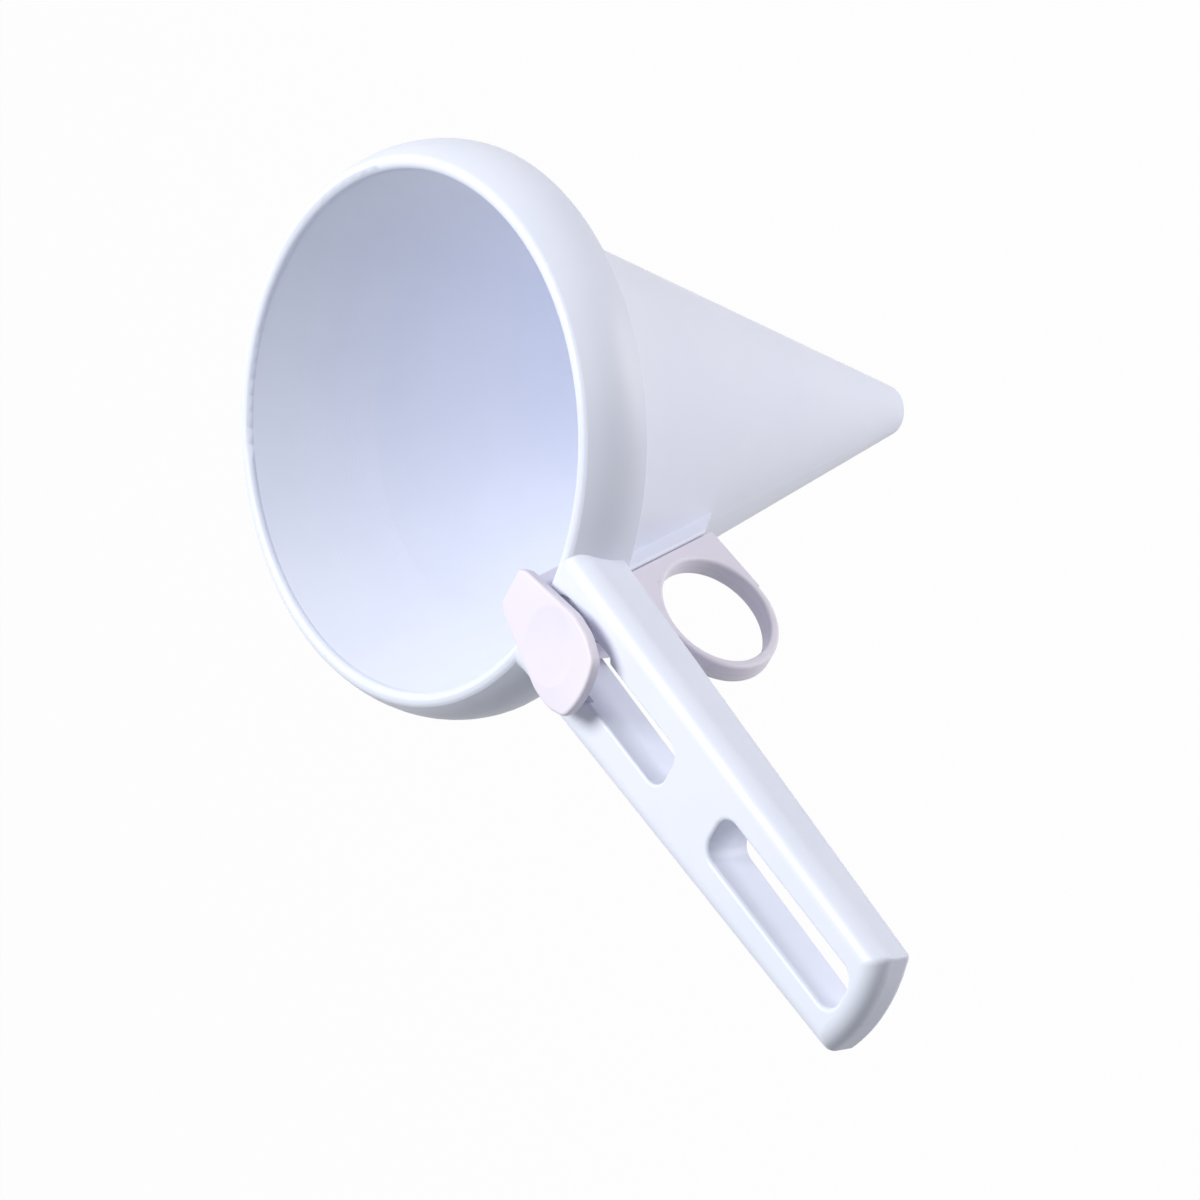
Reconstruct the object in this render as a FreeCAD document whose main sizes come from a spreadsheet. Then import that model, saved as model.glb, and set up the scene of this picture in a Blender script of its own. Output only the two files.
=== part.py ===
import FreeCAD, Part
import math
import os
import re
import Sketcher

# Batter dispenser: a cone funnel with a handle, and a trigger that lifts a stopper inside it.
# Frame: +Z is up out of the mouth, Z = 0 is the top of the rim and of the handle,
# the cone's axis is the Z axis, and the handle runs along +X.

SIZES = {
    # Funnel
    "mouth_bore": 94.1,
    "funnel_depth": 126.6,
    "outlet_bore": 5.8,
    "cone_wall": 2.0,
    "flare_drop": 24.0,
    "flare_reach": 1.5,
    "lip_round": 1.4,
    "lip_land": 0.9,
    "rim_reach": 4.4,
    "rim_drop": 12.8,
    "rim_wall": 2.0,
    "rim_bulge": 15.0,
    "rim_edge_round": 1.6,
    "outlet_round": 1.3,
    # Handle
    "handle_reach": 152.2,
    "handle_root_width": 27.6,
    "handle_end_width": 22.6,
    "handle_root_depth": 11.0,
    "handle_end_depth": 8.0,
    "handle_end_bulge": 32.0,
    "handle_flare": 6.0,
    "handle_top_round": 3.6,
    "handle_bottom_round": 1.2,
    "handle_corner_round": 0.8,
    # Slots in the handle
    "slot_width": 9.2,
    "slot_corner": 3.2,
    "near_slot_round": 0.6,
    "far_slot_round": 0.9,
    "slot_rim_land": 0.65,
    "slot_land": 15.0,
    "slot_end_land": 4.6,
    "near_slot_share": 0.512,
    "recess_width": 13.0,
    "recess_length": 19.5,
    "recess_depth": 1.5,
    "recess_corner": 4.2,
    # Rail on the cone
    "rail_width": 5.2,
    "rail_height": 3.0,
    "rail_end": 49.2,
    "rail_nose": 5.0,
    "groove_width": 2.4,
    "groove_depth": 2.1,
    # Finger ring and its blade
    "plate_width": 4.0,
    "ring_rail_gap": 0.59,
    "ring_centre_drop": 38.0,
    "ring_long_bore": 30.0,
    "ring_short_bore": 21.6,
    "ring_tilt": 37.0,
    "ring_strap": 2.0,
    "ring_edge_round": 0.7,
    "web_top_drop": 22.4,
    "web_top_fall": 1.8,
    "web_foot_drop": 51.6,
    "blade_length": 10.0,
    "tab_height": 0.9,
    # Thumb pad
    "pad_overhang": 4.05,
    "pad_length": 28.7,
    "pad_front_width": 10.4,
    "pad_full_width": 17.8,
    "pad_end_width": 13.2,
    "pad_front_rise": 3.0,
    "pad_tilt": 5.6,
    "pad_thickness": 2.1,
    "pad_side_round": 9.0,
    "pad_end_round": 3.0,
    "pad_edge_round": 0.65,
    "dish_radius": 60.0,
    "dish_depth": 0.45,
    # Stopper
    "arm_width": 3.4,
    "arm_depth": 2.8,
    "arm_wall_gap": 0.9,
    "arm_edge_round": 0.6,
    "tip_height": 9.0,
    "tip_socket": 5.0,
    "tip_round": 0.7,
    # Clearances
    "running_gap": 0.35,
    "seat_gap": 0.10,
    "fit_gap": 0.02,
}

doc = FreeCAD.newDocument("BatterDispenser")
sheet = doc.addObject("Spreadsheet::Sheet", "Sizes")
for row, (alias, size) in enumerate(SIZES.items(), start=1):
    sheet.set(f"A{row}", alias)
    sheet.set(f"B{row}", str(size))
    sheet.setAlias(f"B{row}", alias)
doc.recompute()


# Helpers: expressions on the sheet's sizes, bodies, sketches and features

def bound(text):
    """The expression with each size's name pointed at the sheet."""
    return re.sub(r"[a-z]+(?:_[a-z]+)+", lambda found: "Sizes." + found.group(0), text)


def value(text):
    """The number that an expression gives at the sheet's present sizes."""
    result = sheet.evalExpression(text)
    return float(getattr(result, "Value", result))


def make_body(name):
    body = doc.addObject("PartDesign::Body", name)
    body.Label = name
    body.Placement = FreeCAD.Placement()
    return body


def make_sketch(body, role, name):
    sketch = body.newObject("Sketcher::SketchObject", name)
    plane = [item for item in body.Origin.OriginFeatures if item.Role == role][0]
    sketch.AttachmentSupport = [(plane, "")]
    sketch.MapMode = "FlatFace"
    return sketch


def place_point(sketch, geometry, end, across, along):
    """Holds one end of an edge at expressions for its two coordinates."""
    for kind, text in (("DistanceX", across), ("DistanceY", along)):
        index = sketch.addConstraint(Sketcher.Constraint(kind, -1, 1, geometry, end, value(text)))
        sketch.setExpression(f"Constraints[{index}]", bound(text))


def draw_outline(sketch, corners, arcs=None):
    """A closed outline through corners; arcs maps an edge to its radius, minus to bulge left."""
    arcs = arcs or {}
    count = len(corners)
    held = sketch.GeometryCount
    points = [FreeCAD.Vector(value(x), value(y), 0) for x, y in corners]
    ends = []
    for edge in range(count):
        start, finish = points[edge], points[(edge + 1) % count]
        if edge not in arcs:
            sketch.addGeometry(Part.LineSegment(start, finish))
            ends.append((1, 2))
            continue
        side, text = arcs[edge]
        radius = value(text)
        chord = finish - start
        across = FreeCAD.Vector(-chord.y, chord.x, 0).normalize()
        rise = math.sqrt(radius ** 2 - (chord.Length / 2) ** 2)
        centre = (start + finish) * 0.5 + across * rise * side
        first = math.atan2(start.y - centre.y, start.x - centre.x)
        last = math.atan2(finish.y - centre.y, finish.x - centre.x)
        circle = Part.Circle(centre, FreeCAD.Vector(0, 0, 1), radius)
        if side > 0:
            sketch.addGeometry(Part.ArcOfCircle(circle, first, last))
            ends.append((1, 2))
        else:
            sketch.addGeometry(Part.ArcOfCircle(circle, last, first))
            ends.append((2, 1))
        index = sketch.addConstraint(Sketcher.Constraint("Radius", held + edge, radius))
        sketch.setExpression(f"Constraints[{index}]", bound(text))
    for edge in range(count):
        following = (edge + 1) % count
        sketch.addConstraint(Sketcher.Constraint(
            "Coincident", held + edge, ends[edge][1], held + following, ends[following][0]))
        place_point(sketch, held + edge, ends[edge][0], *corners[edge])


def draw_ellipse(sketch, long_radius, short_radius):
    """The ring's tilted ellipse, with its two radii as expressions."""
    centre = FreeCAD.Vector(value(RING_CENTRE), value("-ring_centre_drop"), 0)
    tilt = math.radians(value("ring_tilt"))
    long_way = FreeCAD.Vector(math.cos(tilt), math.sin(tilt), 0)
    short_way = FreeCAD.Vector(-math.sin(tilt), math.cos(tilt), 0)
    long_end = centre + long_way * value(long_radius)
    short_end = centre + short_way * value(short_radius)
    sketch.addGeometry(Part.Ellipse(long_end, short_end, centre))
    sketch.exposeInternalGeometry(0)
    place_point(sketch, 0, 3, RING_CENTRE, "-ring_centre_drop")
    for line, text in ((1, long_radius), (2, short_radius)):
        doubled = f"2 * ({text})"
        index = sketch.addConstraint(Sketcher.Constraint("Distance", line, value(doubled)))
        sketch.setExpression(f"Constraints[{index}]", bound(doubled))
    angle = sketch.addConstraint(Sketcher.Constraint("Angle", 1, tilt))
    sketch.setExpression(f"Constraints[{angle}]", bound("ring_tilt * 1 deg"))


def add_feature(body, kind, name, sketch, length=None, both_ways=False, backwards=False):
    feature = body.newObject(kind, name)
    feature.Profile = sketch
    if length:
        feature.setExpression("Length", bound(length))
        feature.Midplane = both_ways
    feature.Reversed = backwards
    body.Tip = feature
    doc.recompute()
    return feature


def turn_feature(body, kind, name, sketch):
    feature = body.newObject(kind, name)
    feature.Profile = sketch
    feature.ReferenceAxis = (sketch, ["V_Axis"])
    feature.Angle = 360
    body.Tip = feature
    doc.recompute()
    return feature


def round_edges(body, name, radius, wanted):
    """Rounds the edges of the body's tip whose middle point passes the test."""
    base = body.Tip
    names = []
    for number, edge in enumerate(base.Shape.Edges, start=1):
        middle = edge.valueAt((edge.FirstParameter + edge.LastParameter) / 2)
        if wanted(edge, middle):
            names.append(f"Edge{number}")
    fillet = body.newObject("PartDesign::Fillet", name)
    fillet.Base = (base, names)
    fillet.setExpression("Radius", bound(radius))
    body.Tip = fillet
    doc.recompute()
    return fillet


def is_near(number, text, margin=0.02):
    return abs(number - value(text)) < margin


def is_upright(edge):
    climb = edge.valueAt(edge.LastParameter).z - edge.valueAt(edge.FirstParameter).z
    return abs(climb) > 0.99 * edge.Length


# Lines that several pieces share

INNER_TAPER = "(mouth_bore - outlet_bore) / (2 * funnel_depth)"
FLARE_FOOT = f"(mouth_bore / 2 - flare_drop * {INNER_TAPER})"
OUTLET_OUTSIDE = "(outlet_bore / 2 + cone_wall)"
CREST = "(mouth_bore / 2 + flare_reach + lip_round)"
RIM_OUTSIDE = f"({CREST} + lip_land + rim_reach)"
NEAR_SLOT_START = f"({CREST} + slot_rim_land)"
SLOT_ROOM = f"(handle_reach - {NEAR_SLOT_START} - slot_land - slot_end_land)"
NEAR_SLOT_LENGTH = f"({SLOT_ROOM} * near_slot_share)"
FAR_SLOT_LENGTH = f"({SLOT_ROOM} * (1 - near_slot_share))"
FAR_SLOT_START = f"(handle_reach - slot_end_land - {FAR_SLOT_LENGTH})"
PAD_START = "(mouth_bore / 2 - pad_overhang)"
PAD_END = f"({PAD_START} + pad_length)"


def cone_inside(drop):
    """The inner wall's distance from the axis, at a depth below the rim's top."""
    return f"(mouth_bore / 2 - ({drop}) * {INNER_TAPER})"


def cone_outside(drop):
    return f"({cone_inside(drop)} + cone_wall)"


def rail_face(drop):
    return f"({cone_outside(drop)} + rail_height)"


RING_HALF_REACH = ("sqrt(((ring_long_bore / 2 + ring_strap) * cos(ring_tilt * 1 deg)) ^ 2"
                   " + ((ring_short_bore / 2 + ring_strap) * sin(ring_tilt * 1 deg)) ^ 2)")
RING_CENTRE = f"({rail_face('ring_centre_drop')} + {RING_HALF_REACH} + ring_rail_gap)"


# Funnel shell and its rail: turned outside first, hollowed once the handle is on

def build_shell():
    body = make_body("shell_blank")
    profile = make_sketch(body, "XZ_Plane", "ShellProfile")
    skirt_root = f"({CREST} + lip_land - 0.3 * rim_wall)"
    draw_outline(profile, [
        ("0", "0"),
        (f"{CREST} + lip_land", "0"),
        (f"{RIM_OUTSIDE} - 1.2", "-rim_drop"),
        (f"{RIM_OUTSIDE} - 1.2 - rim_wall", "-rim_drop"),
        (skirt_root, "-1.3 * rim_wall"),
        (f"{FLARE_FOOT} + cone_wall", "-flare_drop"),
        (OUTLET_OUTSIDE, "-funnel_depth"),
        ("0", "-funnel_depth"),
    ], {1: (-1, "rim_bulge"), 3: (1, "rim_bulge - rim_wall")})
    turn_feature(body, "PartDesign::Revolution", "ShellTurned", profile)
    round_edges(body, "RimOuterRound", "rim_edge_round", lambda edge, middle: (
        is_near(middle.z, "0") and edge.Length > 100))
    round_edges(body, "SkirtFootRound", "0.4 * rim_wall", lambda edge, middle: (
        is_near(middle.z, "-rim_drop") and edge.Length > 100))
    round_edges(body, "OutletRound", "outlet_round", lambda edge, middle: (
        is_near(middle.z, "-funnel_depth") and edge.Length > 20))

    # The rail stands on the cone under the handle, and ends in a sloping nose
    side = make_sketch(body, "XZ_Plane", "RailSide")
    sunk = "0.5 * cone_wall"
    draw_outline(side, [
        (rail_face("handle_root_depth - 1"), "1 - handle_root_depth"),
        (rail_face("rail_end"), "-rail_end"),
        (f"{cone_outside('rail_end + rail_nose')}", "-rail_end - rail_nose"),
        (f"{cone_outside('rail_end + rail_nose')} - {sunk}", "-rail_end - rail_nose"),
        (f"{cone_outside('handle_root_depth - 1')} - {sunk}", "1 - handle_root_depth"),
    ])
    add_feature(body, "PartDesign::Pad", "Rail", side, "rail_width", both_ways=True)
    round_edges(body, "RailRound", "0.12 * rail_width", lambda edge, middle: (
        is_near(abs(middle.y), "rail_width / 2") and edge.Length > 20
        and middle.x > value(cone_outside(str(-middle.z))) + 1.5))
    cut = make_sketch(body, "XZ_Plane", "GrooveSide")
    floor = "(rail_height - groove_depth)"
    draw_outline(cut, [
        (f"{rail_face('handle_root_depth - 2')} + 1", "2 - handle_root_depth"),
        (f"{rail_face('rail_end + rail_nose')} + 1", "-rail_end - rail_nose"),
        (f"{cone_outside('rail_end + rail_nose')} + {floor}", "-rail_end - rail_nose"),
        (f"{cone_outside('handle_root_depth - 2')} + {floor}", "2 - handle_root_depth"),
    ])
    add_feature(body, "PartDesign::Pocket", "RailGroove", cut, "groove_width", both_ways=True)
    return body


# Handle blank: a flat bar that tapers to a curved end, with its root inside the rim

def build_handle():
    body = make_body("handle_blank")
    plan = make_sketch(body, "XY_Plane", "HandlePlan")
    half_root = "(handle_root_width / 2)"
    half_end = "(handle_end_width / 2)"
    circle = CREST
    flare_reach = f"sqrt(({circle} + handle_flare) ^ 2 - ({half_root} + handle_flare) ^ 2)"
    touch = f"({circle} / ({circle} + handle_flare))"
    touch_x = f"{flare_reach} * {touch}"
    touch_y = f"({half_root} + handle_flare) * {touch}"
    corner_x = f"handle_reach - handle_end_bulge + sqrt(handle_end_bulge ^ 2 - {half_end} ^ 2)"
    inside = f"{circle} - 9"
    draw_outline(plan, [
        (inside, f"-{touch_y}"),
        (touch_x, f"-{touch_y}"),
        (flare_reach, f"-{half_root}"),
        (corner_x, f"-{half_end}"),
        (corner_x, half_end),
        (flare_reach, half_root),
        (touch_x, touch_y),
        (inside, touch_y),
    ], {1: (-1, "handle_flare"), 3: (1, "handle_end_bulge"), 5: (-1, "handle_flare")})
    add_feature(body, "PartDesign::Pad", "HandleBar", plan, "handle_root_depth", backwards=True)
    under = make_sketch(body, "XZ_Plane", "HandleUnderside")
    draw_outline(under, [
        (circle, "-handle_root_depth"),
        ("handle_reach + 4", "-handle_root_depth - 1"),
        ("handle_reach + 4", "-handle_end_depth"),
    ])
    add_feature(body, "PartDesign::Pocket", "HandleTaper", under, "2 * handle_root_width",
                both_ways=True)
    clear = value(touch_x) + 0.01
    round_edges(body, "HandleCorners", "handle_corner_round", lambda edge, middle: (
        middle.x > value(corner_x) - 1 and is_upright(edge)))
    round_edges(body, "HandleTopRound", "handle_top_round", lambda edge, middle: (
        is_near(middle.z, "0") and middle.x > clear))
    round_edges(body, "HandleBottomRound", "handle_bottom_round", lambda edge, middle: (
        middle.z < -value("handle_end_depth") + 0.3 and middle.x > clear
        and abs(middle.y) > 3 or middle.x > value(corner_x) and middle.z < -4
        and not is_upright(edge)))
    return body


# Funnel body: shell and handle in one moulding, then its hollow and its slots

def square_corners(start, length, width):
    return [
        (start, f"-{width} / 2"),
        (f"{start} + {length}", f"-{width} / 2"),
        (f"{start} + {length}", f"{width} / 2"),
        (start, f"{width} / 2"),
    ]


def draw_slot(sketch, start, length, width, corner):
    """A rectangle along the handle with a round at each corner."""
    near, far = f"{start} + {corner}", f"{start} + {length} - {corner}"
    end = f"{start} + {length}"
    half, straight = f"{width} / 2", f"({width} / 2 - {corner})"
    draw_outline(sketch, [
        (near, f"-{half}"),
        (far, f"-{half}"),
        (end, f"-{straight}"),
        (end, straight),
        (far, half),
        (near, half),
        (start, straight),
        (start, f"-{straight}"),
    ], {1: (1, corner), 3: (1, corner), 5: (1, corner), 7: (1, corner)})


def build_funnel():
    blank = doc.addObject("Part::MultiFuse", "funnel_blank")
    blank.Shapes = [build_shell(), build_handle()]
    doc.recompute()
    body = make_body("funnel_body")
    body.BaseFeature = blank
    doc.recompute()

    hollow = make_sketch(body, "XZ_Plane", "HollowProfile")
    inner_lip = "(mouth_bore / 2 + flare_reach)"
    flare = f"(flare_drop ^ 2 / (2 * flare_reach) * 1.05)"
    draw_outline(hollow, [
        ("0", "2"),
        (CREST, "2"),
        (CREST, "0"),
        (inner_lip, "-lip_round"),
        (FLARE_FOOT, "-flare_drop"),
        ("outlet_bore / 2", "-funnel_depth"),
        ("outlet_bore / 2", "-funnel_depth - 1"),
        ("0", "-funnel_depth - 1"),
    ], {2: (1, "lip_round"), 3: (1, flare)})
    turn_feature(body, "PartDesign::Groove", "Hollow", hollow)

    for name, start, length in (("NearSlot", NEAR_SLOT_START, NEAR_SLOT_LENGTH),
                                ("FarSlot", FAR_SLOT_START, FAR_SLOT_LENGTH)):
        plan = make_sketch(body, "XY_Plane", name + "Plan")
        draw_slot(plan, start, length, "slot_width", "slot_corner")
        add_feature(body, "PartDesign::Pocket", name, plan, "2 * handle_root_depth")
    recess = make_sketch(body, "XY_Plane", "RecessPlan")
    draw_slot(recess, NEAR_SLOT_START, "recess_length", "recess_width", "recess_corner")
    add_feature(body, "PartDesign::Pocket", "Recess", recess, "recess_depth")
    sides = value("recess_width") / 2 + 0.5
    first, between = value(NEAR_SLOT_START) - 0.1, value(FAR_SLOT_START) - 0.1
    last = value("handle_reach - slot_end_land") + 0.1
    for name, radius, low, high in (("NearSlotRound", "near_slot_round", first, between),
                                    ("FarSlotRound", "far_slot_round", between, last)):
        round_edges(body, name, radius, lambda edge, middle: (
            is_near(middle.z, "0") and abs(middle.y) < sides and low < middle.x < high))
    return body


# Finger ring: one flat plate with the ring, its web in the rail, and the blade up through the slot

BLADE_START = f"({NEAR_SLOT_START} + 2 * running_gap)"
PAD_SLOPE = "tan(pad_tilt * 1 deg)"


def pad_underside(reach):
    return f"(pad_front_rise + ({reach} - {PAD_START}) * {PAD_SLOPE} - pad_thickness)"


def build_ring():
    body = make_body("finger_ring")
    rim = make_sketch(body, "XZ_Plane", "RingOutline")
    draw_ellipse(rim, "ring_long_bore / 2 + ring_strap", "ring_short_bore / 2 + ring_strap")
    add_feature(body, "PartDesign::Pad", "RingDisc", rim, "plate_width", both_ways=True)

    def on_side_loops(edge, middle):
        return is_near(abs(middle.y), "plate_width / 2") and edge.isClosed()

    round_edges(body, "RingOuterRound", "ring_edge_round", on_side_loops)
    web = make_sketch(body, "XZ_Plane", "WebOutline")
    blade_end = f"({BLADE_START} + blade_length)"
    web_top = "(web_top_drop + web_top_fall)"
    draw_outline(web, [
        (BLADE_START, f"{pad_underside(BLADE_START)} + tab_height"),
        (BLADE_START, "-web_top_drop"),
        (f"{rail_face(web_top)} + running_gap", f"-{web_top}"),
        (f"{rail_face('web_foot_drop')} + running_gap", "-web_foot_drop"),
        (f"{RING_CENTRE} - 5", "-ring_centre_drop - ring_short_bore / 2 - ring_strap - 1.6"),
        (RING_CENTRE, "-ring_centre_drop"),
        (blade_end, "-ring_centre_drop + ring_short_bore / 2"),
        (blade_end, f"{pad_underside(blade_end)} + tab_height"),
    ])
    add_feature(body, "PartDesign::Pad", "Web", web, "plate_width", both_ways=True)
    bore = make_sketch(body, "XZ_Plane", "RingBoreOutline")
    draw_ellipse(bore, "ring_long_bore / 2", "ring_short_bore / 2")
    add_feature(body, "PartDesign::Pocket", "RingBore", bore, "2 * plate_width", both_ways=True)
    round_edges(body, "RingBoreRound", "ring_edge_round", on_side_loops)
    tongue = make_sketch(body, "XZ_Plane", "TongueOutline")
    reach = "(groove_depth - running_gap)"
    foot = "(web_foot_drop - rail_nose)"
    draw_outline(tongue, [
        (f"{rail_face(web_top + ' + 1')} + 2", f"-{web_top} - 1"),
        (f"{rail_face(web_top + ' + 1')} - {reach}", f"-{web_top} - 1"),
        (f"{rail_face(foot)} - {reach}", f"-{foot}"),
        (f"{rail_face(foot)} + 2", f"-{foot}"),
    ])
    add_feature(body, "PartDesign::Pad", "Tongue", tongue, "groove_width - 2 * running_gap",
                both_ways=True)
    return body


# Thumb pad: a tilted plate, wider towards the hand, with sockets for the blade and the arm

ARM_CENTRE_REACH = "(mouth_bore / 2 - arm_wall_gap - arm_depth / 2)"
ARM_TOP = f"({pad_underside(ARM_CENTRE_REACH)} + tab_height)"
ARM_FOOT_DROP = "(funnel_depth - tip_height + tip_socket)"


def arm_outline(top, foot_drop, gap="0"):
    """The arm seen from the side, parallel to the cone's wall, with a gap all round."""
    near = f"(arm_wall_gap - {gap})"
    far = f"(arm_wall_gap + arm_depth + {gap})"
    return [
        (f"{cone_inside(f'(-{top})')} - {far}", top),
        (f"{cone_inside(foot_drop)} - {far}", f"-{foot_drop} - {gap}"),
        (f"{cone_inside(foot_drop)} - {near}", f"-{foot_drop} - {gap}"),
        (f"{cone_inside(f'(-{top})')} - {near}", top),
    ]


def pad_plan():
    """Half of the pad's corners are written, and the rest mirror them."""
    shoulder = f"({PAD_START} + 0.62 * pad_length)"
    hip = f"({PAD_START} + 0.80 * pad_length)"
    half = [
        (PAD_START, "(pad_front_width / 2 - 1.2)"),
        (f"({PAD_START} + 1.8)", "(pad_front_width / 2)"),
        (shoulder, "(pad_full_width / 2)"),
        (hip, "(pad_full_width / 2 - 0.2)"),
        (f"({PAD_END} - 1.2)", "(pad_end_width / 2)"),
    ]
    return [(x, "-" + y) for x, y in half] + half[::-1]


def build_pad():
    body = make_body("thumb_pad")
    side = make_sketch(body, "XZ_Plane", "PadSide")
    front, back = f"({PAD_START} - 1)", f"({PAD_END} + 1)"
    draw_outline(side, [
        (front, pad_underside(front)),
        (back, pad_underside(back)),
        (back, f"{pad_underside(back)} + pad_thickness"),
        (front, f"{pad_underside(front)} + pad_thickness"),
    ])
    add_feature(body, "PartDesign::Pad", "PadPlate", side, "2 * pad_full_width", both_ways=True)

    plan = make_sketch(body, "XY_Plane", "PadPlan")
    draw_outline(plan, square_corners(f"({PAD_START} - 4)", "(pad_length + 8)", "(3 * pad_full_width)"))
    draw_outline(plan, pad_plan(), {4: (1, "1.25 * pad_end_width")})
    add_feature(body, "PartDesign::Pocket", "PadTrim", plan, "8 * pad_thickness", both_ways=True)

    def height(middle):
        return middle.z - value(pad_underside(str(middle.x)))

    first, last = value(PAD_START) + 3, value(PAD_END) - 3
    round_edges(body, "PadSideRound", "pad_side_round", lambda edge, middle: (
        is_upright(edge) and first < middle.x < last))
    round_edges(body, "PadEndRound", "pad_end_round", lambda edge, middle: (
        is_upright(edge) and middle.x > last))
    round_edges(body, "PadTopRound", "pad_edge_round", lambda edge, middle: (
        is_near(height(middle), "pad_thickness")))
    round_edges(body, "PadUnderRound", "pad_edge_round / 2", lambda edge, middle: (
        is_near(height(middle), "0")))

    dish = body.newObject("PartDesign::SubtractiveSphere", "ThumbDish")
    dish.setExpression("Radius", bound("dish_radius"))
    middle_reach = f"({PAD_START} + 0.56 * pad_length)"
    lift = "(dish_radius - dish_depth)"
    dish.setExpression("Placement.Base.x", bound(f"{middle_reach} - {lift} * sin(pad_tilt * 1 deg)"))
    dish.setExpression("Placement.Base.z", bound(
        f"{pad_underside(middle_reach)} + pad_thickness + {lift} * cos(pad_tilt * 1 deg)"))
    body.Tip = dish
    doc.recompute()

    socket = make_sketch(body, "XZ_Plane", "BladeSocketOutline")
    start, end = f"({BLADE_START} - fit_gap)", f"({BLADE_START} + blade_length + fit_gap)"
    draw_outline(socket, [
        (start, f"{pad_underside(start)} - 2"),
        (end, f"{pad_underside(end)} - 2"),
        (end, f"{pad_underside(end)} + tab_height + fit_gap"),
        (start, f"{pad_underside(start)} + tab_height + fit_gap"),
    ])
    add_feature(body, "PartDesign::Pocket", "BladeSocket", socket, "plate_width + 2 * fit_gap",
                both_ways=True)
    hold = make_sketch(body, "XZ_Plane", "ArmSocketOutline")
    draw_outline(hold, arm_outline(f"({ARM_TOP} + fit_gap)", "4", "fit_gap"))
    add_feature(body, "PartDesign::Pocket", "ArmSocket", hold, "arm_width + 2 * fit_gap",
                both_ways=True)
    return body


# Stopper: a straight arm inside the cone, along the wall, with a soft tip that fills the outlet

def build_arm():
    body = make_body("stopper_arm")
    side = make_sketch(body, "XZ_Plane", "ArmSide")
    draw_outline(side, arm_outline(ARM_TOP, ARM_FOOT_DROP))
    add_feature(body, "PartDesign::Pad", "Arm", side, "arm_width", both_ways=True)
    round_edges(body, "ArmRound", "arm_edge_round", lambda edge, middle: edge.Length > 50)
    return body


def build_tip():
    body = make_body("stopper_tip")
    profile = make_sketch(body, "XZ_Plane", "TipProfile")
    top_drop = "(funnel_depth - tip_height)"
    foot_drop = "(funnel_depth - 2 * seat_gap)"
    draw_outline(profile, [
        ("0", f"-{foot_drop}"),
        (f"{cone_inside(foot_drop)} - seat_gap", f"-{foot_drop}"),
        (f"{cone_inside(top_drop)} - seat_gap", f"-{top_drop}"),
        ("0", f"-{top_drop}"),
    ])
    turn_feature(body, "PartDesign::Revolution", "TipTurned", profile)
    round_edges(body, "TipRound", "tip_round", lambda edge, middle: (
        is_near(middle.z, f"-{top_drop}") and edge.Length > 5))
    socket = make_sketch(body, "XZ_Plane", "TipSocketOutline")
    draw_outline(socket, arm_outline(f"(2 - {top_drop})", ARM_FOOT_DROP, "fit_gap"))
    add_feature(body, "PartDesign::Pocket", "TipSocket", socket, "arm_width + 2 * fit_gap",
                both_ways=True)
    return body


def check_document(pieces):
    for item in doc.Objects:
        if {"Invalid", "Error"} & set(item.State):
            raise RuntimeError(f"{item.Name} is {item.State}")
    for piece in pieces:
        if piece.Shape.isNull() or not piece.Shape.isValid():
            raise RuntimeError(f"{piece.Label} has no valid shape")
        if len(piece.Shape.Solids) != 1:
            raise RuntimeError(f"{piece.Label} has {len(piece.Shape.Solids)} solids")


pieces = [build_funnel(), build_ring(), build_pad(), build_arm(), build_tip()]
doc.recompute()
check_document(pieces)
os.makedirs("parts", exist_ok=True)
for piece in pieces:
    piece.Shape.exportStep(f"parts/{piece.Label}.step")
    print(piece.Label, round(piece.Shape.Volume, 1))
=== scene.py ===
import bpy
from mathutils import Matrix, Vector

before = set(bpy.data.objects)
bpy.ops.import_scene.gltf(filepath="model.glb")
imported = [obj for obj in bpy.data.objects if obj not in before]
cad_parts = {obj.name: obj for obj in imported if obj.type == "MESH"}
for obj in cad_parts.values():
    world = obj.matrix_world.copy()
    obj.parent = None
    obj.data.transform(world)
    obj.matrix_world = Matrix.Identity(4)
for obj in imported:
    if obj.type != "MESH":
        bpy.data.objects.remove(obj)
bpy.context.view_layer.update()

MM = 0.001
WHITE = (1.0, 1.0, 1.0, 1.0)


# Shader sums: a wrapped socket that takes part in Python expressions

class Tint:
    """One socket of a node tree, with sums that add Math nodes to the tree."""

    def __init__(self, paint, socket):
        self.paint = paint
        self.socket = socket

    def maths(self, operation, *others):
        settings = {"operation": operation}
        return self.paint.node("ShaderNodeMath", settings, dict(enumerate((self,) + others)))

    def __add__(self, other):
        return self.maths("ADD", other)

    def __radd__(self, other):
        return self.maths("ADD", other)

    def __sub__(self, other):
        return self.maths("SUBTRACT", other)

    def __rsub__(self, other):
        return self.paint.node("ShaderNodeMath", {"operation": "SUBTRACT"}, {0: other, 1: self})

    def __mul__(self, other):
        return self.maths("MULTIPLY", other)

    def __rmul__(self, other):
        return self.maths("MULTIPLY", other)

    def __abs__(self):
        return self.maths("ABSOLUTE")

    def root(self):
        return self.maths("POWER", 0.5)

    def wave(self):
        return self.maths("SINE")

    def greater(self, other):
        return self.maths("MAXIMUM", other)

    def below(self, other):
        return self.maths("LESS_THAN", other)

    def above(self, other):
        return self.maths("GREATER_THAN", other)

    def band(self, low, high):
        """0 at low and 1 at high, smooth in between."""
        settings = {"interpolation_type": "SMOOTHSTEP"}
        return self.paint.node("ShaderNodeMapRange", settings, {
            "Value": self, "From Min": low, "From Max": high})


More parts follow.
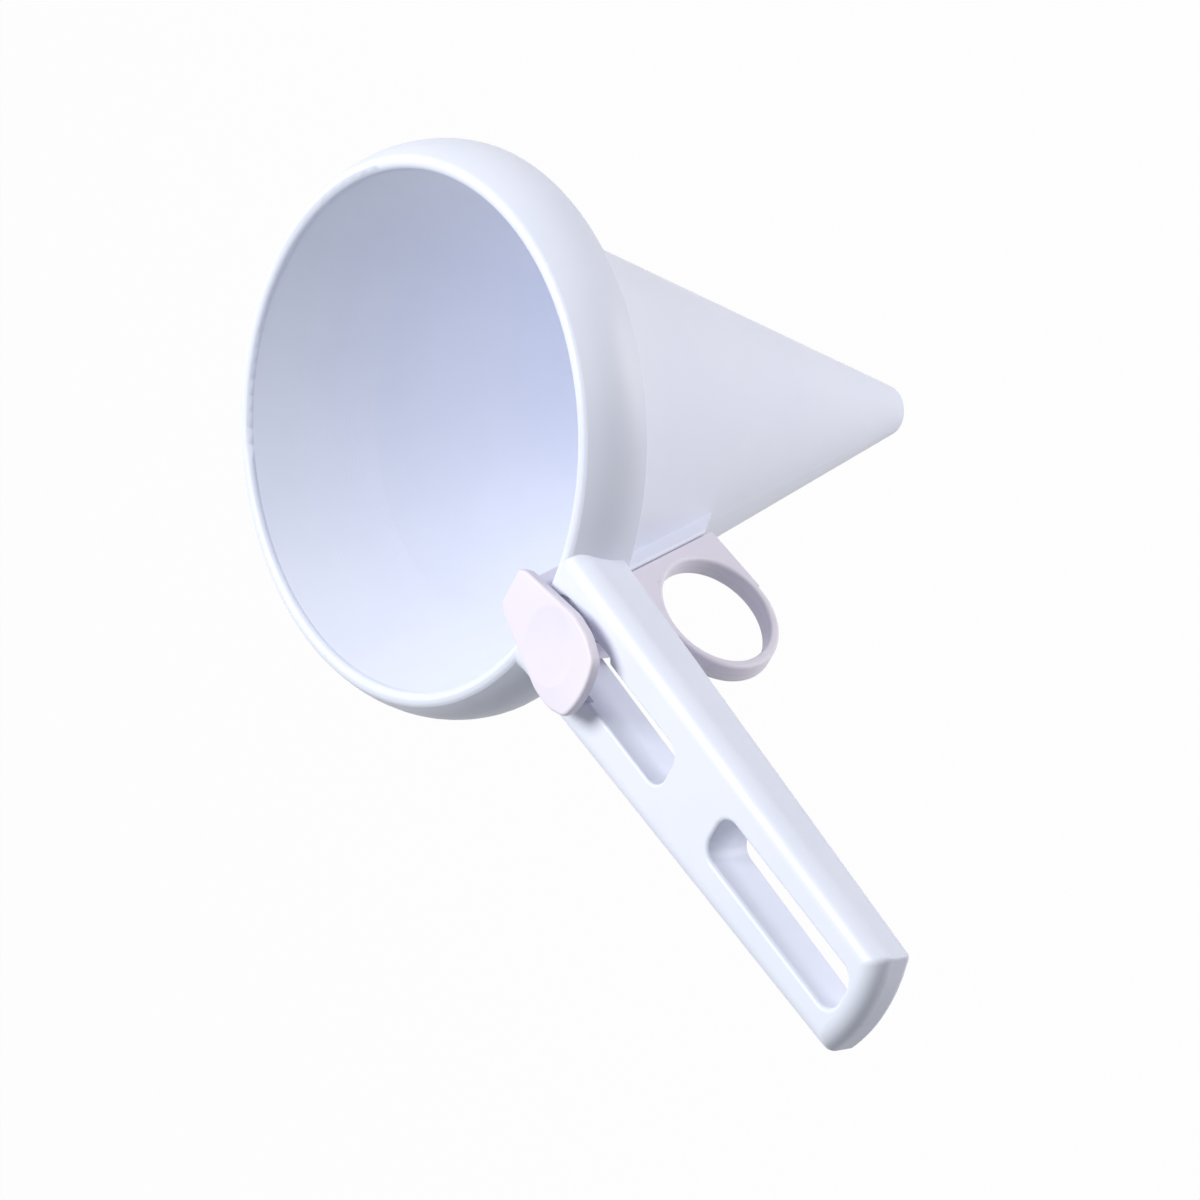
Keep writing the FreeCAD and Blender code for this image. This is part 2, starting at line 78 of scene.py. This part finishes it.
class Paint:
    """The nodes of a material or of the sky, with one method that adds any node."""

    def __init__(self, owner, shader, output):
        owner.use_nodes = True
        self.owner = owner
        self.tree = owner.node_tree
        self.shader = self.tree.nodes[shader]
        self.output = self.tree.nodes[output]

    def node(self, kind, settings=None, sockets=None, output=0):
        made = self.tree.nodes.new(kind)
        for name, setting in (settings or {}).items():
            setattr(made, name, setting)
        self.feed(made, sockets or {})
        return Tint(self, made.outputs[output])

    def feed(self, made, sockets):
        for key, content in sockets.items():
            if isinstance(content, Tint):
                self.tree.links.new(content.socket, made.inputs[key])
            else:
                made.inputs[key].default_value = content

    def place(self):
        """Position on the piece at rest: the whole point in metres, and its three parts in mm."""
        spot = self.node("ShaderNodeTexCoord", output="Object")
        parts = self.node("ShaderNodeSeparateXYZ", {}, {0: spot}).socket.node.outputs
        return spot, [Tint(self, parts[axis]) * (1 / MM) for axis in range(3)]

    def cloud(self, spot, per_metre, detail=2.0, stretch=None):
        """Noise with so many features to the metre."""
        if stretch:
            spot = self.node("ShaderNodeMapping", {}, {"Vector": spot, "Scale": stretch})
        return self.node("ShaderNodeTexNoise", {}, {
            "Vector": spot, "Scale": per_metre, "Detail": detail, "Roughness": 0.5})

    def blend(self, share, first, second):
        settings = {"data_type": "RGBA"}
        return self.node("ShaderNodeMix", settings, {0: share, 6: first, 7: second}, output=2)

    def seen(self):
        """1 where the camera, a reflection or a view through glass meets it, 0 for other light."""
        rays = self.node("ShaderNodeLightPath").socket.node.outputs
        camera, glossy, glass = [Tint(self, rays[name]) for name in (
            "Is Camera Ray", "Is Glossy Ray", "Is Transmission Ray")]
        return camera.greater(glossy).greater(glass)

    def show(self, share, backdrop):
        """The paint's own shader, with a share of a backdrop mixed in."""
        own = Tint(self, self.shader.outputs[0])
        mixed = self.node("ShaderNodeMixShader", {}, {0: share, 1: own, 2: backdrop})
        self.feed(self.output, {"Surface": mixed})


def new_paint(name):
    return Paint(bpy.data.materials.new(name), "Principled BSDF", "Material Output")


def colour(red, green, blue):
    """A colour as it is seen, from 0 to 255, as the linear values that a socket takes."""
    def linear(part):
        part = part / 255
        return part / 12.92 if part <= 0.04045 else ((part + 0.055) / 1.055) ** 2.4
    return (linear(red), linear(green), linear(blue), 1.0)


# Moulded plastic: how many features of each kind there are to the metre

PATCHES = 28.0
FLOW_LINES = 90.0
RIPPLES = 160.0
RUBS = 420.0
GRAINS = 2600.0
MARK_COLOUR = colour(150, 152, 165)


def moulded_plastic(name, main, deep, gloss, marks):
    """Moulded plastic: faint cloudy colour, a fine tool texture, hairline rubs, and its mould marks."""
    paint = new_paint(name)
    spot, (x, y, z) = paint.place()
    cloudy = paint.cloud(spot, PATCHES, 3.0).band(0.35, 0.68)
    flow = paint.cloud(spot, FLOW_LINES, stretch=(0.5, 0.5, 0.12)).band(0.4, 0.7)
    rubs = paint.cloud(spot, RUBS, stretch=(0.07, 1.0, 0.5)).band(0.66, 0.74)
    grain = paint.cloud(spot, GRAINS)
    ripple = paint.cloud(spot, RIPPLES)
    mark_height, mark_tone = marks(paint, spot, x, y, z)

    tone = paint.blend(cloudy * 0.6 + flow * 0.4, main, deep)
    tone = paint.blend(mark_tone * 0.35, tone, MARK_COLOUR)
    rough = gloss + cloudy * 0.05 + rubs * 0.12 + grain * 0.04
    height = grain * 0.010 + ripple * 0.05 - rubs * 0.012 + mark_height
    bump = paint.node("ShaderNodeBump", {}, {"Strength": 0.5, "Distance": MM, "Height": height})
    paint.feed(paint.shader, {
        "Base Color": tone, "Roughness": rough, "Normal": bump, "IOR": 1.49,
        "Specular IOR Level": 0.5})
    return paint.owner


def far(along, across):
    """The distance from a centre, from the distances along two axes."""
    return (along * along + across * across).root()


def thin_line(away, core, edge):
    """1 within core of the line, and 0 past edge."""
    return 1.0 - abs(away).band(core, edge)


# Mould marks of each piece, as a height in mm and a share of the marks' darker tone

CONE_TOP_RADIUS = 49.05
CONE_TAPER = 0.34874
RIM_RADIUS = 53.0
RIM_FOOT = -13.5
HANDLE_UNDERSIDE = -7.0
PIN_PLACES = (99.5, 149.0)
PIN_RADIUS = 1.9
TOOL_RINGS_PER_MM = 9.0
GATE_X = 47.5
GATE_Z = -30.0
GATE_RADIUS = 0.9
GATE_SIDE = 1.7


def body_marks(paint, spot, x, y, z):
    """The mould's parting line along the cone, pin marks under the handle, and tool rings inside."""
    reach = far(x, y)
    off_cone = reach - (CONE_TOP_RADIUS + CONE_TAPER * z)
    outside = off_cone.above(-0.6) * reach.below(RIM_RADIUS) * z.below(RIM_FOOT)
    seam = thin_line(y, 0.05, 0.22) * outside * x.below(0.0)
    pins = 0.0
    for centre in PIN_PLACES:
        pins = pins + thin_line(far(x - centre, y) - PIN_RADIUS, 0.05, 0.25)
    pins = pins * z.below(HANDLE_UNDERSIDE)
    inside = off_cone.below(-1.0) * z.below(-3.0)
    rings = (z * TOOL_RINGS_PER_MM + paint.cloud(spot, 40.0) * 2.0).wave() * inside
    return seam * 0.12 + pins * 0.15 + rings * 0.004, seam * 0.3 + pins * 0.3


def trigger_marks(paint, spot, x, y, z):
    """The parting line round the ring's plate, and a small gate scar on its web."""
    seam = thin_line(y, 0.04, 0.16) * z.below(0.5)
    scar = thin_line(far(x - GATE_X, z - GATE_Z) - GATE_RADIUS, 0.05, 0.25)
    gate = scar * abs(y).above(GATE_SIDE)
    return seam * 0.06 + gate * 0.12, seam * 0.15 + gate * 0.3


def no_marks(paint, spot, x, y, z):
    return 0.0, 0.0


body_plastic = moulded_plastic(
    "body_plastic", colour(233, 237, 250), colour(228, 233, 247), 0.38, body_marks)
trigger_plastic = moulded_plastic(
    "trigger_plastic", colour(237, 232, 243), colour(229, 223, 236), 0.42, trigger_marks)
stopper_rubber = moulded_plastic(
    "stopper_rubber", colour(222, 222, 226), colour(212, 212, 218), 0.55, no_marks)

FINISH = {
    "funnel_body": body_plastic,
    "finger_ring": trigger_plastic,
    "thumb_pad": trigger_plastic,
    "stopper_arm": trigger_plastic,
    "stopper_tip": stopper_rubber,
}
for name, finish in FINISH.items():
    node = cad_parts[name]
    node.data.materials.clear()
    node.data.materials.append(finish)


# Studio: a pale floor, a soft sky and two soft lamps

FLOOR_HALF = 12.0
FLOOR_LEVEL = -0.6
FLOOR_WHITE = 0.97
SKY_STRENGTH = 0.28


def make_floor():
    """A floor that is nearly white to the camera, and keeps a little of the object's shadow."""
    corners = [(-1, -1), (1, -1), (1, 1), (-1, 1)]
    mesh = bpy.data.meshes.new("floor")
    mesh.from_pydata([(x * FLOOR_HALF, y * FLOOR_HALF, FLOOR_LEVEL) for x, y in corners],
                     [], [(0, 1, 2, 3)])
    floor = bpy.data.objects.new("floor", mesh)
    bpy.context.scene.collection.objects.link(floor)
    paint = new_paint("pale_floor")
    paint.feed(paint.shader, {"Base Color": colour(236, 236, 238), "Roughness": 0.9})
    glow = paint.node("ShaderNodeEmission", {}, {"Color": WHITE, "Strength": 1.0})
    paint.show(paint.seen() * FLOOR_WHITE, glow)
    mesh.materials.append(paint.owner)


def make_sky():
    """A dim soft sky for the light, and plain white where the camera or a reflection sees it."""
    world = bpy.data.worlds.new("soft_sky")
    bpy.context.scene.world = world
    paint = Paint(world, "Background", "World Output")
    paint.feed(paint.shader, {"Color": (0.93, 0.95, 1.0, 1.0), "Strength": SKY_STRENGTH})
    backdrop = paint.node("ShaderNodeBackground", {}, {"Color": WHITE})
    paint.show(paint.seen(), backdrop)


def make_lamp(name, spot, aim, power, size, tone=(1, 1, 1)):
    data = bpy.data.lights.new(name, "AREA")
    data.energy = power
    data.shape = "DISK"
    data.size = size
    data.color = tone
    lamp = bpy.data.objects.new(name, data)
    lamp.location = spot
    lamp.rotation_mode = "QUATERNION"
    lamp.rotation_quaternion = (Vector(aim) - Vector(spot)).to_track_quat("-Z", "Y")
    bpy.context.scene.collection.objects.link(lamp)


def make_camera():
    """The photo's view: from above the handle's side, with the cone's foot towards the right."""
    spot = (0.4886, 0.4348, 0.5223)
    across = Vector((0.5202, 0.4034, -0.7528))
    down = Vector((0.6639, -0.7454, 0.0593))
    ahead = Vector((-0.5372, -0.5306, -0.6556))
    data = bpy.data.cameras.new("photo_camera")
    data.lens = 135.0
    data.sensor_width = 36.0
    data.clip_start = 0.05
    data.clip_end = 20.0
    camera = bpy.data.objects.new("photo_camera", data)
    turn = Matrix((across, -down, -ahead)).transposed()
    camera.matrix_world = Matrix.Translation(spot) @ turn.to_4x4()
    bpy.context.scene.collection.objects.link(camera)
    bpy.context.scene.camera = camera


make_floor()
make_sky()
make_lamp("key", (-0.40, 0.22, 1.0), (0.03, 0.0, -0.04), 12.6, 0.6)
make_lamp("side_bounce", (0.28, 0.52, -0.50), (0.0, 0.0, -0.04), 3.3, 0.5, (1.0, 0.96, 0.97))
make_camera()

scene = bpy.context.scene
scene.view_settings.view_transform = "Standard"
